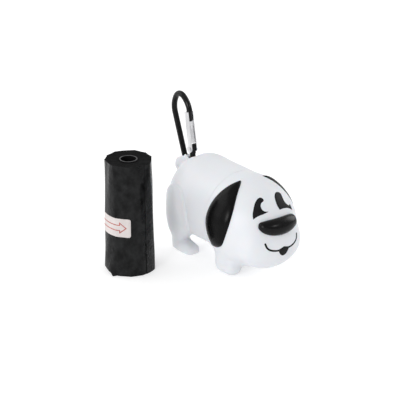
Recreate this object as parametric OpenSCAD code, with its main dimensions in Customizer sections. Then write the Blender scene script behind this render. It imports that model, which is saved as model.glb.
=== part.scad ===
// Waste-bag dispenser in the shape of a puppy, with a snap hook through its
// tail and a spare roll of bags standing beside it.
// Millimetres, +Z up. The puppy looks along -Y and stands on Z = 0, with the
// origin on the floor under the middle of its back.

/* [Body] */
// Outside radius of the barrel-shaped body
body_r = 22.4; // [21.5:0.1:24]
// Height of the body's long axis above the floor
body_z = 28.9; // [27.5:0.1:31]
// How far the rump reaches behind the origin
rump_y = 33; // [31:0.5:40]
// Radius that rounds the rump into the sides
rump_round = 16; // [12:0.5:17]
// Wall of both moulded shells
wall = 2; // [1.4:0.1:2.6]
// Wall across the rump, which carries the tail and the outlet
rump_wall = 3; // [2.4:0.1:4]

/* [Head] */
// Radius of the skull
head_r = 24.1; // [23:0.1:26]
// Distance of the skull's centre ahead of the origin
head_fwd = 20.5; // [18:0.5:24]
// Drop of the skull's crown below the top of the back
crown_drop = 1; // [0:0.1:3]
// Half width of the muzzle
muzzle_x = 18.8; // [16:0.1:21]
// Half depth of the muzzle
muzzle_y = 10.4; // [9:0.1:13]
// Half height of the muzzle
muzzle_z = 13; // [11:0.1:15]
// Distance of the muzzle's centre ahead of the skull's centre
muzzle_fwd = 16; // [14:0.5:19]
// Drop of the muzzle's centre below the skull's centre
muzzle_drop = 7.2; // [5:0.1:9]

/* [Neck joint] */
// Distance of the parting line ahead of the origin
seam_fwd = 9.5; // [8:0.1:10]
// Length of the spigot that plugs into the rear shell
spigot_len = 8; // [5:0.5:12]
// Wall of the spigot
spigot_wall = 1.6; // [1.2:0.1:2.4]
// Radial clearance of the spigot in the rear shell
spigot_gap = 0.08; // [0.04:0.01:0.1]

/* [Legs] */
// Distance of the front legs from the middle plane
front_leg_x = 13.7; // [11:0.1:15]
// Distance of the front legs ahead of the origin
front_leg_fwd = 17.6; // [17.2:0.1:20]
// Radius of the front legs
front_leg_r = 6.9; // [5.5:0.1:7.4]
// Radius of the front toes
front_toe_r = 6; // [5:0.1:6.8]
// How far the front toes reach ahead of the leg
front_toe_reach = 3.4; // [2:0.1:6]
// Distance of the hind feet from the middle plane
hind_foot_x = 14.1; // [12:0.1:16]
// Distance of the heels behind the origin
heel_y = 22.5; // [20:0.5:25]
// Length of the hind feet between heel and toe centres
hind_foot_len = 8.4; // [6:0.1:12]
// Radius of the hind feet
hind_foot_r = 4.6; // [3.8:0.1:5.4]
// Radius of the shanks at the hocks
shank_r = 5.6; // [5:0.1:6]
// Height of the hocks
hock_z = 14; // [12:0.5:16]
// Half thickness, half depth and half height of the haunches
haunch_size = [8.2, 9.2, 14.5]; // [6:0.1:16]
// Distance of the haunches' centres from the middle plane
haunch_x = 15.8; // [14:0.1:17]
// Distance of the haunches behind the origin
haunch_y = 19; // [17:0.5:22]
// Height of the haunches' centres
haunch_z = 22.5; // [20:0.5:25]
// Depth that the soles are flattened by
sole_flat = 0.7; // [0.4:0.05:1]

/* [Tail and outlet] */
// Radius of the tail lobe
tail_r = 5.3; // [5:0.1:5.8]
// Distance of the tail lobe's centre behind the rump
tail_back = 3.8; // [3.2:0.1:4.6]
// Height of the tail lobe's centre above the body axis
tail_rise = 12.3; // [12:0.1:13.4]
// Radius of the cheeks that carry the cross bar
tail_cheek_r = 2.6; // [2.5:0.05:2.9]
// Radius of the tail where it leaves the rump
tail_root_r = 4.4; // [4:0.1:4.8]
// Radius of the cross bar that the hook hangs on
tail_bar_r = 0.9; // [0.7:0.05:1]
// Radius of the hole that the bags are pulled through
outlet_r = 6; // [4.5:0.1:7]
// Width of the lip around that hole
outlet_lip = 2.2; // [1.5:0.1:3]
// How far the lip stands out of the rump
outlet_lip_out = 1; // [0.5:0.1:1.5]

/* [Ears and face] */
// Thickness of the ears
ear_t = 1.3; // [0.8:0.1:2]
// Height of the ears' tips above the skull's centre
ear_tip_rise = 23.4; // [21:0.1:23.6]
// Length of the ears from tip to lobe
ear_len = 33.4; // [28:0.1:35]
// Bulge of the ears' rear edge behind a line from tip to lobe
ear_rear_w = 8.6; // [6:0.1:10]
// Bulge of the ears' front edge ahead of that line
ear_front_w = 8.9; // [6:0.1:11]
// Radius of the rounded lobe at the bottom of each ear
ear_lobe_r = 3; // [2:0.1:3.6]
// Radius of the nose roll
nose_r = 4.3; // [3.6:0.1:5]
// Height of the nose roll above the muzzle's centre
nose_rise = 12.4; // [10:0.1:14]
// How far the nose roll stands out of the skull
nose_out = 2.2; // [1.4:0.1:4]
// Radius that the nose roll is bent to
nose_bend_r = 24; // [20:0.5:30]
// Half angle that the nose roll spans
nose_half_angle = 20; // [16:0.5:24]
// Thickness of the printed eyes and mouth
print_t = 0.2; // [0.1:0.05:0.3]
// Radius of the eyes
eye_r = 7.8; // [7:0.1:8.4]
// Distance of the eyes' centres from the middle plane
eye_x = 4.9; // [4:0.1:6]
// Height of the eyes' centres above the skull's centre
eye_rise = 11.2; // [10:0.1:12]
// Radius of the notch in each eye
eye_notch_r = 2.9; // [2.4:0.1:3.2]
// Width of the mouth line
mouth_line = 0.9; // [0.6:0.1:1.4]
// Depth of the mouth line's low points below the skull's centre
mouth_drop = 6.8; // [5:0.1:9]
// Distance of the mouth line's low points from the middle plane
mouth_low_x = 5.3; // [4:0.1:6.5]
// Radius of the mouth line up the cheeks
cheek_r = 5; // [4:0.1:6]
// Height of the mouth line's ends above its low points
cheek_end = 4.6; // [3:0.1:5]
// Radius of the mouth line's lips
lip_r = 12; // [10:0.5:16]
// Radius of the tongue
tongue_r = 3; // [2.4:0.1:3.4]
// Gap between the tongue and the mouth line
print_gap = 0.1; // [0.05:0.05:0.2]

/* [Snap hook] */
// Radius of the hook's rod
rod_r = 1.6; // [1.4:0.05:1.7]
// Radius of the bow that runs through the tail
bow_r = 3.6; // [3.5:0.1:4]
// Half width of the crown's arch
crown_r = 6.7; // [6.3:0.1:7.2]
// Height of the crown's arch
crown_rise = 9.4; // [8.8:0.1:10]
// Radius of the crown's arch at its top
crown_top_r = 4.4; // [4:0.1:5]
// Distance from the middle of the bow to the foot of the crown's arch
hook_span = 25.1; // [23:0.1:28]
// Lean of the hook toward the rear
hook_tilt = 13; // [9:0.5:18]
// Play of the rod in the slot of the tail
hook_play = 0.35; // [0.3:0.05:0.5]

/* [Gate] */
// Distance of the gate's pivot above the foot of its arm
pivot_rise = 4.7; // [4.5:0.1:6]
// Thickness of the gate's sheet
sheet_t = 0.55; // [0.4:0.05:0.7]
// Half width inside the gate's channel
channel_half = 1.45; // [1.35:0.05:1.7]
// Depth of the gate from its web to its open edge
gate_depth = 2.9; // [2.6:0.05:3.2]
// Radius of the gate's round foot about the rivet
gate_foot_r = 2; // [1.8:0.05:2.2]
// Lean of the closed gate toward the spine
gate_lean = 3.5; // [3:0.1:4]
// Radius of the rivet that the gate turns on
rivet_r = 0.7; // [0.5:0.05:0.9]
// Running clearance of the rivet in the hook
rivet_gap = 0.06; // [0.04:0.01:0.1]
// Gap between the gate and the parts of the hook inside it
gate_gap = 0.3; // [0.25:0.05:0.4]
// Length of the nose that the closed gate covers
nose_len = 5.5; // [4:0.1:7]
// Half depth of the tang
tang_half = 1.4; // [1.2:0.05:1.5]
// Length of the tang above the pivot
tang_rise = 2.4; // [2.2:0.1:3.4]
// Radius of the spring wire
wire_r = 0.25; // [0.15:0.05:0.35]
// Length of the spring wire
wire_len = 9; // [5:0.5:11]

/* [Spare roll] */
// Height of the roll
roll_h = 62.1; // [50:0.1:75]
// Radius of the roll at the floor
roll_r_low = 13.5; // [11:0.1:16]
// Radius of the roll at its top
roll_r_high = 12.6; // [10.5:0.1:15]
// Outside radius of the core tube
core_r = 4.8; // [4:0.1:6.5]
// Wall of the core tube
core_wall = 0.6; // [0.4:0.1:1.2]
// Place of the roll's axis on the floor, left and behind the origin
roll_at = [-50.8, 19.4]; // [-70:0.1:40]
// Thickness of the loose outer turn of film
flap_t = 0.25; // [0.15:0.05:0.5]
// Length of the loose outer turn, as an angle
flap_angle = 60; // [20:1:100]
// Height of the label
label_h = 10.4; // [8:0.1:14]
// Height of the label's lower edge
label_z = 22.4; // [10:0.1:34]
// Thickness of the label
label_t = 0.15; // [0.1:0.05:0.25]
// Length of the label, as an angle
label_angle = 119; // [90:1:130]
// Thickness of the ink of the arrow
ink_t = 0.08; // [0.05:0.01:0.12]

/* [Hidden] */
$fn = 64;
// Reach of cutting blocks, larger than the whole object
far = 200;
// Depth that one solid is sunk into another where they are one piece
sink = 0.4;
seam_y = -seam_fwd;
head_z = body_z + body_r - crown_drop - head_r;
head_at = [0, -head_fwd, head_z];
muzzle_at = head_at - [0, muzzle_fwd, muzzle_drop];
muzzle_size = [muzzle_x, muzzle_y, muzzle_z];
spigot_r = body_r - wall - spigot_gap;
barrel_front_y = -30;
hind_sole_z = hind_foot_r - sole_flat;
// Height at which the front legs end inside the skull
leg_top_z = 18;
tail_at = [0, rump_y + tail_back, body_z + tail_rise];
outlet_z = body_z - 2;
// The hook turns about the middle of its bow, above and ahead of the tail
bow_fwd = 3.6;
bow_rise = 5.7;
bow_at = tail_at + [0, -bow_fwd, bow_rise];
// Place of the cross bar against the middle of the bow
bar_back = 0.3;
bar_drop = 0.65;
tail_bar_at = bow_at + [0, bar_back, -bar_drop];
slot_half = rod_r + hook_play;
slot_r = bow_r + rod_r + hook_play;
// Each side of the crown's arch is an arc of radius side_r about a point that
// lies side_off beyond the hook's middle line, tangent to the top's arc at
// side_turn above the arch's foot
side_r = (crown_r * crown_r + crown_rise * crown_rise - 2 * crown_rise * crown_top_r)
    / (2 * (crown_r - crown_top_r));
side_off = side_r - crown_r;
side_turn = asin((crown_rise - crown_top_r) / (side_r - crown_top_r));
// The arms run along the lines that touch both the bow and the arch's sides
centres_run = norm([side_off, hook_span]);
splay = asin((side_r - bow_r) / centres_run) - atan2(side_off, hook_span);
arm_len = sqrt(centres_run * centres_run - (side_r - bow_r) * (side_r - bow_r));
// Distance from an arm's upper end to the foot of the arch
arch_foot = side_r * sin(splay);
// Rods that run a little way into the next bend are a hair thinner than it
rod_lap = 0.3;
hair = 0.015;
arm_rod_r = rod_r - 2 * hair;
inner_half = channel_half - gate_gap;
outer_half = channel_half + sheet_t;
// Height of the gate's web and of its top above the pivot
web_rise = tang_rise + gate_gap;
gate_len = arm_len + arch_foot - gate_gap - pivot_rise;
// Rim and thickness of the rivet's heads
rivet_rim = 0.5;
rivet_head_t = 0.35;
mouth_low = [-mouth_low_x, head_z - mouth_drop];
// Bearings of the label's right edge and of the film's free edge
label_from = 118;
flap_from = 276;
// How far the core tube stands above the film
core_proud = 0.1;

module both_sides() {
    children();
    mirror([1, 0, 0]) children();
}

// Ellipsoid with the given half sizes
module ellipsoid(size) {
    scale(size) sphere(1, $fn = 96);
}

// Rod from p to q with round ends of radius rp and rq
module limb(p, q, rp, rq) {
    run = q - p;
    len = norm(run);
    lean = (rp - rq) / len;
    side = sqrt(1 - lean * lean);
    translate(p) rotate([0, acos(run[2] / len), atan2(run[1], run[0])]) rotate_extrude()
        intersection() {
            union() {
                circle(rp);
                translate([0, len]) circle(rq);
                polygon([
                    [0, rp * lean], [rp * side, rp * lean],
                    [rq * side, len + rq * lean], [0, len + rq * lean]
                ]);
            }
            translate([0, -rp]) square([max(rp, rq), len + rp + rq]);
        }
}

// Round barrel along Y with rounded ends
module barrel(r, round, front, rear) {
    len = rear - front;
    translate([0, front, body_z]) rotate([-90, 0, 0]) rotate_extrude($fn = 96)
        intersection() {
            union() {
                translate([0, round]) square([r, len - 2 * round]);
                square([r - round, len]);
                for (end = [round, len - round])
                    translate([r - round, end]) circle(round);
            }
            square([r, len]);
        }
}

// Round bar along Y at height z
module bar_y(r, z, front, rear) {
    translate([0, front, z]) rotate([-90, 0, 0]) cylinder(r = r, h = rear - front, $fn = 96);
}

module ahead_of(y) {
    translate([-far, y - 2 * far, -far]) cube(2 * far);
}

module behind(y) {
    translate([-far, y, -far]) cube(2 * far);
}

module above_floor() {
    translate([-far, -far, 0]) cube(2 * far);
}

// Outer form of body and skull, grown by t
module trunk_form(t) {
    barrel(body_r + t, rump_round + t, barrel_front_y - t, rump_y + t);
    translate(head_at) sphere(head_r + t, $fn = 96);
}

// Outer form of the muzzle, grown by t
module muzzle_form(t) {
    translate(muzzle_at) ellipsoid(muzzle_size + [t, t, t]);
}

module skin_form(t) {
    trunk_form(t);
    muzzle_form(t);
}

module hind_leg() {
    haunch_lean = 4;
    hock_out = 1;
    hock_fwd = 1.7;
    ankle_rise = 0.6;
    ankle_in = 0.8;
    toe_taper = 0.4;
    hock = [-hind_foot_x - hock_out, heel_y - hock_fwd, hock_z];
    heel = [-hind_foot_x, heel_y, hind_sole_z];
    toe = heel + [0, -hind_foot_len, -toe_taper];
    translate([-haunch_x, haunch_y, haunch_z]) rotate([haunch_lean, 0, 0]) ellipsoid(haunch_size);
    limb(hock, heel + [0, 0, ankle_rise], shank_r, hind_foot_r - ankle_in);
    limb(heel, toe, hind_foot_r, hind_foot_r - toe_taper);
}

// Round post with a rounded foot, standing a little below the floor
module front_leg() {
    translate([-front_leg_x, -front_leg_fwd, -sole_flat]) {
        rotate_extrude() intersection() {
            union() {
                translate([0, front_leg_r]) circle(front_leg_r);
                translate([0, front_leg_r]) square([front_leg_r, leg_top_z - front_leg_r]);
            }
            square([front_leg_r, leg_top_z]);
        }
        translate([0, -front_toe_reach, front_toe_r]) sphere(front_toe_r);
    }
}

// Slot of the tail: open above the lowest sweep of the hook's rod
module tail_slot() {
    step_fwd = 0.5;
    translate(bow_at) {
        rotate([0, 90, 0]) cylinder(r = slot_r, h = 2 * slot_half, center = true, $fn = 96);
        translate([-slot_half, -step_fwd, -slot_r]) cube([2 * slot_half, 3 * tail_r, 3 * tail_r]);
    }
}

module tail() {
    root_len = 9;
    root_drop = 4;
    tip_drop = 0.6;
    root = tail_at - [0, root_len, root_drop];
    limb(tail_at, tail_bar_at, tail_r, tail_cheek_r);
    limb(root, tail_at - [0, 0, tip_drop], tail_root_r, tail_root_r - 0.2);
}

module rear_shell() {
    color("white") {
        difference() {
            union() {
                intersection() {
                    trunk_form(0);
                    behind(seam_y);
                }
                both_sides() hind_leg();
                tail();
                bar_y(outlet_r + outlet_lip, outlet_z, rump_y - rump_wall, rump_y + outlet_lip_out);
            }
            barrel(body_r - wall, rump_round - wall, barrel_front_y, rump_y - rump_wall);
            bar_y(outlet_r, outlet_z, rump_y - 2 * rump_wall, rump_y + 2 * outlet_lip_out);
            tail_slot();
            mirror([0, 0, 1]) above_floor();
        }
        translate(tail_bar_at) rotate([0, 90, 0])
            cylinder(r = tail_bar_r, h = 2 * slot_half + 2 * sink, center = true);
    }
}

module front_shell() {
    rim_y = seam_y - wall;
    color("white") difference() {
        union() {
            intersection() {
                skin_form(0);
                ahead_of(seam_y);
            }
            bar_y(spigot_r, body_z, rim_y, seam_y + spigot_len);
            both_sides() front_leg();
        }
        bar_y(spigot_r - spigot_wall, body_z, rim_y - 1, seam_y + spigot_len + 1);
        intersection() {
            translate(head_at) rotate([90, 0, 0]) sphere(head_r - wall, $fn = 96);
            ahead_of(rim_y);
        }
        muzzle_form(-wall);
        mirror([0, 0, 1]) above_floor();
    }
}

// Side view of an ear, Y to the right and Z up: two arcs and a round lobe
module ear_outline() {
    lobe_out = 0.6;
    ear_back = 0.5;
    half = (ear_len - lobe_out) / 2;
    mid = [ear_back - head_fwd, head_z + ear_tip_rise - half];
    rear_r = (half * half + ear_rear_w * ear_rear_w) / (2 * ear_rear_w);
    front_r = (half * half + ear_front_w * ear_front_w) / (2 * ear_front_w);
    intersection() {
        translate(mid + [ear_rear_w - rear_r, 0]) circle(rear_r, $fn = 96);
        translate(mid + [front_r - ear_front_w, 0]) circle(front_r, $fn = 96);
    }
    translate(mid + [0, ear_lobe_r - half - lobe_out]) circle(ear_lobe_r);
}

module ear() {
    color("black") difference() {
        intersection() {
            trunk_form(ear_t);
            rotate([90, 0, -90]) mirror([1, 0, 0]) linear_extrude(2 * head_r) ear_outline();
        }
        trunk_form(0);
    }
}

module ear_right() {
    ear();
}

module ear_left() {
    mirror([1, 0, 0]) ear();
}

module nose() {
    end_extra = 0.01;
    nose_z = muzzle_at[2] + nose_rise;
    skull_front = head_at[1] - sqrt(head_r * head_r - (nose_z - head_z) * (nose_z - head_z));
    bend_at = [0, skull_front + nose_r - nose_out + nose_bend_r, nose_z];
    color("black") difference() {
        translate(bend_at) rotate([0, 0, -90]) {
            rotate([0, 0, -nose_half_angle]) rotate_extrude(angle = 2 * nose_half_angle)
                translate([nose_bend_r, 0]) circle(nose_r);
            for (turn = [-nose_half_angle, nose_half_angle])
                rotate([0, 0, turn]) translate([nose_bend_r, 0]) sphere(nose_r + end_extra);
        }
        skin_form(0);
    }
}

// Layer of ink on the face, cut to an outline drawn in X and Z
module face_print() {
    difference() {
        intersection() {
            skin_form(print_t);
            translate(head_at - [0, head_r / 3, head_z]) rotate([90, 0, 0]) linear_extrude(far) children();
        }
        skin_form(0);
    }
}

// Eye with a round notch; out is -1 for the puppy's right eye, and the notch
// is placed against the eye's centre
module eye_outline(out, notch_at) {
    middle = [out * eye_x, head_z + eye_rise];
    inner = -1.5 * out;
    outer = 2 * eye_r * out;
    inner_rise = 2.2;
    outer_drop = 4;
    difference() {
        translate(middle) intersection() {
            circle(eye_r);
            polygon([
                [inner, inner_rise], [outer, -outer_drop],
                [outer, 2 * eye_r], [inner, 2 * eye_r]
            ]);
        }
        translate(middle + notch_at) circle(eye_notch_r);
    }
}

module eye_right() {
    color("black") face_print() eye_outline(-1, [0.7, 4.8]);
}

module eye_left() {
    color("black") face_print() eye_outline(1, [6.3, 4.2]);
}

// Ring of the mouth line's width about a centre
module mouth_ring(r) {
    difference() {
        circle(r + mouth_line / 2);
        circle(r - mouth_line / 2);
    }
}

// Right half of the mouth: a short arc up the cheek and a flatter one inward
module smile_half() {
    lap = mouth_line / 8;
    intersection() {
        translate(mouth_low + [0, cheek_r]) mouth_ring(cheek_r);
        translate(mouth_low - [2 * cheek_r, mouth_line])
            square([2 * cheek_r + lap, mouth_line + cheek_end]);
    }
    intersection() {
        translate(mouth_low + [0, lip_r]) mouth_ring(lip_r);
        translate(mouth_low - [0, mouth_line]) square([mouth_low_x, lip_r / 2]);
    }
}

module smile_line() {
    color("black") face_print() both_sides() smile_half();
}

// Tongue, trimmed along the underside of the mouth line
module tongue_print() {
    tongue_drop = 1;
    color("black") face_print() difference() {
        translate([0, mouth_low[1] - tongue_drop]) circle(tongue_r);
        both_sides() translate(mouth_low + [0, lip_r]) circle(lip_r + mouth_line / 2 + print_gap);
    }
}

// Frame of the hook: Y across its loop, Z from bow to crown
module hook_frame() {
    translate(bow_at) rotate([-hook_tilt, 0, 0]) children();
}

// Frame of one arm, with Z along it; side is 1 for the spine, -1 for the gate
module arm_frame(side) {
    translate([0, side * bow_r * cos(splay), -bow_r * sin(splay)])
        rotate([-side * splay, 0, 0]) children();
}

// Frame of the closed gate, with its pivot at the origin and Z along it
module gate_frame() {
    hook_frame() arm_frame(-1) translate([0, 0, pivot_rise]) rotate([-gate_lean, 0, 0]) children();
}

// Bent rod of radius rod about X, from one bearing to another
module rod_arc(r, from, to, rod) {
    rotate([90, 0, 90]) rotate([0, 0, from]) rotate_extrude(angle = to - from)
        translate([r, 0]) circle(rod);
}

// Crown: a top arc between two flatter ones, the gate's side ending at the foot
module crown() {
    lap = side_turn + asin(rod_lap / side_r);
    translate([0, 0, crown_rise - crown_top_r])
        rod_arc(crown_top_r, side_turn, 180 - side_turn, rod_r);
    translate([0, -side_off, 0]) rod_arc(side_r, -splay, lap, rod_r - hair);
    translate([0, side_off, 0]) rod_arc(side_r, 180 - lap, 180, rod_r - hair);
}

// Rivet bore or shaft across an arm
module across(r, half) {
    rotate([0, 90, 0]) cylinder(r = r, h = 2 * half, center = true);
}

module hook_body() {
    stub_top = pivot_rise - gate_foot_r - gate_gap;
    tang_top = pivot_rise + tang_rise - tang_half;
    tang_size = [2 * inner_half, 2 * tang_half, tang_top - stub_top + sink];
    nose_foot = arm_len + arch_foot - nose_len;
    color("black") hook_frame() {
        rod_arc(bow_r, 180 + splay, 360 - splay, rod_r);
        translate([0, 0, hook_span]) crown();
        arm_frame(1) translate([0, 0, -rod_lap]) cylinder(r = arm_rod_r, h = arm_len + 2 * rod_lap);
        arm_frame(-1) {
            translate([0, 0, -rod_lap]) cylinder(r = arm_rod_r, h = stub_top + rod_lap);
            translate([0, 0, nose_foot]) cylinder(r = inner_half, h = nose_len + sink);
            difference() {
                union() {
                    translate([-inner_half, -tang_half, stub_top - sink]) cube(tang_size);
                    translate([0, 0, tang_top]) across(tang_half, inner_half);
                }
                translate([0, 0, pivot_rise]) across(rivet_r + rivet_gap, channel_half);
            }
        }
    }
}

// Gate: a channel that is open toward the front, with round ears at its foot
module hook_gate() {
    back = gate_depth - gate_foot_r;
    color("silver") gate_frame() difference() {
        union() {
            translate([-outer_half, -gate_foot_r, 0]) cube([2 * outer_half, gate_depth, gate_len]);
            across(gate_foot_r, outer_half);
        }
        translate([-channel_half, -far, -far])
            cube([2 * channel_half, far + back - sheet_t, 2 * far]);
        translate([-channel_half, -far, -far]) cube([2 * channel_half, 2 * far, far + web_rise]);
        across(rivet_r, 2 * outer_half);
    }
}

module gate_rivet() {
    color("silver") gate_frame() {
        across(rivet_r, outer_half + rivet_head_t);
        for (side = [-1, 1]) translate([side * (outer_half + rivet_head_t / 2), 0, 0])
            across(rivet_r + rivet_rim, rivet_head_t / 2);
    }
}

module gate_spring() {
    web_y = gate_depth - gate_foot_r - sheet_t;
    color("gray") gate_frame() translate([0, web_y - wire_r, web_rise + gate_gap])
        cylinder(r = wire_r, h = wire_len);
}

module roll_frame() {
    translate([roll_at[0], roll_at[1], 0]) children();
}

function roll_r_at(z) = roll_r_low + (roll_r_high - roll_r_low) * z / roll_h;

// Curved layer on the roll, from height low to high and between two bearings
module roll_layer(low, high, under, t, from, angle) {
    rotate([0, 0, from]) rotate_extrude(angle = angle) polygon([
        [roll_r_at(low) + under, low], [roll_r_at(low) + under + t, low],
        [roll_r_at(high) + under + t, high], [roll_r_at(high) + under, high]
    ]);
}

module bag_roll() {
    color("black") roll_frame() difference() {
        cylinder(h = roll_h, r1 = roll_r_low, r2 = roll_r_high, $fn = 96);
        translate([0, 0, -1]) cylinder(h = roll_h + 2, r = core_r);
    }
}

module roll_core() {
    color("dimgray") roll_frame() difference() {
        cylinder(h = roll_h + core_proud, r = core_r);
        translate([0, 0, -1]) cylinder(h = roll_h + 3, r = core_r - core_wall);
    }
}

module roll_flap() {
    color("black") roll_frame() roll_layer(0, roll_h, 0, flap_t, flap_from, flap_angle);
}

module roll_label() {
    color("ivory") roll_frame()
        roll_layer(label_z, label_z + label_h, 0, label_t, label_from, label_angle);
}

// Outline arrow, drawn with its tip at the origin and its tail to the left
module arrow_outline() {
    line = 0.5;
    head = 4.6;
    half = 3.2;
    neck = 1.5;
    tail_len = 18;
    difference() {
        polygon([
            [0, 0], [-head, half], [-head, neck], [-tail_len, neck],
            [-tail_len, -neck], [-head, -neck], [-head, -half]
        ]);
        polygon([
            [-1.6 * line, 0], [-head + line, half - 2.4 * line], [-head + line, neck - line],
            [-tail_len + line, neck - line], [-tail_len + line, line - neck],
            [-head + line, line - neck], [-head + line, 2.4 * line - half]
        ]);
    }
}

module label_arrow() {
    margin = 3;
    arrow_turn = 36;
    arrow_side = 7.4;
    bearing = label_from + label_angle - arrow_turn;
    mid_z = label_z + label_h / 2;
    color("red") roll_frame() intersection() {
        roll_layer(label_z, label_z + label_h, label_t, ink_t, label_from + margin, label_angle - 2 * margin);
        rotate([0, 0, bearing]) translate([0, arrow_side, mid_z]) rotate([90, 0, 90])
            linear_extrude(2 * roll_r_low) arrow_outline();
    }
}

rear_shell();
front_shell();
ear_right();
ear_left();
nose();
eye_right();
eye_left();
smile_line();
tongue_print();
hook_body();
hook_gate();
gate_rivet();
gate_spring();
bag_roll();
roll_core();
roll_flap();
roll_label();
label_arrow();
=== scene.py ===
import math

import bpy
import numpy as np
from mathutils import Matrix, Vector
from mathutils.geometry import delaunay_2d_cdt


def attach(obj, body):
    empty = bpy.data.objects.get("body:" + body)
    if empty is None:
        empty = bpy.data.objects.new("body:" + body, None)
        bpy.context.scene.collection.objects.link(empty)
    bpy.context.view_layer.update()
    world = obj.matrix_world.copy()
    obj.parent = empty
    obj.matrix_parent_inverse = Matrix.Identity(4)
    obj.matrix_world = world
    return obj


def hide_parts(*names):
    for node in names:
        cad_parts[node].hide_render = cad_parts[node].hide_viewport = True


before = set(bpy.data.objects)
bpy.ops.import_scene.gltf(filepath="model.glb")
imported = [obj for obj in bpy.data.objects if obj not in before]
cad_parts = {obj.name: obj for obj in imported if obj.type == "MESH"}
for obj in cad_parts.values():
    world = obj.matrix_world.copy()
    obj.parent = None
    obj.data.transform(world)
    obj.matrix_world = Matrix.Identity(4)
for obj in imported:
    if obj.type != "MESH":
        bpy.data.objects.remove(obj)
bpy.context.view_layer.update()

# The puppy looks along -Y, its right side is -X and the floor is Z 0. Shapes are in millimetres.
# Camera, lights, floor and the depths of materials are in metres, and noise scales are per metre.
MM = 0.001
TINY = 1e-9

# ---------------------------------------------------------------- camera

PHOTO_SIDE = 400                                # pixels
ORIGIN_PX = (227, 254)                          # where the photograph shows the origin
TO_CAMERA = Vector((-0.5687, -0.7149, 0.4067))  # 38.5 degrees to the puppy's right, 24 up
CAMERA_DISTANCE = 1.5
LENS, SENSOR = 250, 36                          # millimetres
CLIP_END = 50


def make_camera():
    data = bpy.data.cameras.new("camera")
    data.sensor_fit = "HORIZONTAL"
    data.sensor_width = SENSOR
    data.lens = LENS
    data.shift_x = (PHOTO_SIDE / 2 - ORIGIN_PX[0]) / PHOTO_SIDE
    data.shift_y = (ORIGIN_PX[1] - PHOTO_SIDE / 2) / PHOTO_SIDE
    data.clip_end = CLIP_END
    camera = bpy.data.objects.new("camera", data)
    bpy.context.scene.collection.objects.link(camera)
    camera.location = TO_CAMERA * CAMERA_DISTANCE
    camera.rotation_euler = (-TO_CAMERA).to_track_quat("-Z", "Y").to_euler()
    bpy.context.scene.camera = camera
    bpy.context.scene.view_settings.view_transform = "Standard"


# ---------------------------------------------------------------- materials

NOISE_BAND = (0.3, 0.7)                         # the part of the noise's range that is common
NOISE_STEPS, NOISE_ROUGHNESS = 3.0, 0.55
GLOSS_FINER = 2.7                               # gloss varies so much finer than the tint

CREASES = (  # stretch, noise scale, depth, noise steps
    ((1, 1, 0.28), 110, 0.0016, 4.0),
    ((1, 1, 0.9), 380, 0.0004, 3.0),
)
CREASE_LEAN = (0.5, 0.2, 0)
CREASE_STRENGTH = 0.6
END_BAND = dict(From_Min=0.5, From_Max=0.8)     # facing up: from the film's side to its wound end
END_ROUGHER = 0.75
# paler patches on the film's wall: painted sheen
SHEEN_PATCH_COLOUR = (0.02, 0.0205, 0.0212, 1)
SHEEN_PATCH_SCALE, SHEEN_PATCH_STEPS = 240, 4
SHEEN_PATCH_BAND = dict(From_Min=0.35, From_Max=0.8)
# colour of the core's walls: painted shade in its bore
BORE_SHADE_COLOUR = (0.004, 0.004, 0.0042, 1)


def set_sockets(node, sockets):
    for key, value in sockets.items():
        node.inputs[key.replace("_", " ")].default_value = value


def add_node(tree, kind, **sockets):
    """A new shader node with constants on its sockets."""
    node = tree.nodes.new("ShaderNode" + kind)
    set_sockets(node, sockets)
    return node


def material(name, dark, light, rough, spread, tint_scale, grain, grain_depth,
             streak=(1, 1, 1), detail=None, **sockets):
    """A surface whose colour, roughness and relief all vary a little over it."""
    mat = bpy.data.materials.new(name)
    mat.use_nodes = True
    tree = mat.node_tree
    shader = tree.nodes["Principled BSDF"]
    set_sockets(shader, sockets)
    place = add_node(tree, "TexCoord")
    stretch = add_node(tree, "Mapping", Scale=streak)
    tree.links.new(place.outputs["Object"], stretch.inputs["Vector"])

    def noise(scale):
        node = add_node(tree, "TexNoise", Scale=scale, Detail=NOISE_STEPS,
                        Roughness=NOISE_ROUGHNESS)
        tree.links.new(stretch.outputs["Vector"], node.inputs["Vector"])
        return node.outputs["Fac"]

    tint = add_node(tree, "ValToRGB")
    for stop, at, colour in zip(tint.color_ramp.elements, NOISE_BAND, (dark, light)):
        stop.position = at
        stop.color = (*colour, 1)
    tree.links.new(noise(tint_scale), tint.inputs["Fac"])
    tree.links.new(tint.outputs["Color"], shader.inputs["Base Color"])
    gloss = add_node(tree, "MapRange", From_Min=NOISE_BAND[0], From_Max=NOISE_BAND[1],
                     To_Min=rough - spread, To_Max=rough + spread)
    tree.links.new(noise(tint_scale * GLOSS_FINER), gloss.inputs["Value"])
    tree.links.new(gloss.outputs["Result"], shader.inputs["Roughness"])
    bump = add_node(tree, "Bump", Strength=1, Distance=grain_depth)
    tree.links.new(noise(grain), bump.inputs["Height"])
    if detail:
        bump = detail(tree, place, bump)
    tree.links.new(bump.outputs["Normal"], shader.inputs["Normal"])
    return mat


def upward(tree):
    """How far the surface faces up: 1 on a level top, 0 on a wall."""
    facing = add_node(tree, "NewGeometry")
    split = add_node(tree, "SeparateXYZ")
    tree.links.new(facing.outputs["True Normal"], split.inputs["Vector"])
    return split.outputs["Z"]


def recolour(tree, factor, low=None, high=None):
    """Blend another colour into the base colour, which stays at the end that is left out."""
    base = tree.nodes["Principled BSDF"].inputs["Base Color"]
    was = base.links[0].from_socket
    mix = add_node(tree, "Mix")
    mix.data_type = "RGBA"
    for side, colour in (("A", low), ("B", high)):
        if colour:
            mix.inputs[side].default_value = colour
        else:
            tree.links.new(was, mix.inputs[side])
    tree.links.new(factor, mix.inputs["Factor"])
    tree.links.new(mix.outputs["Result"], base)


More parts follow.
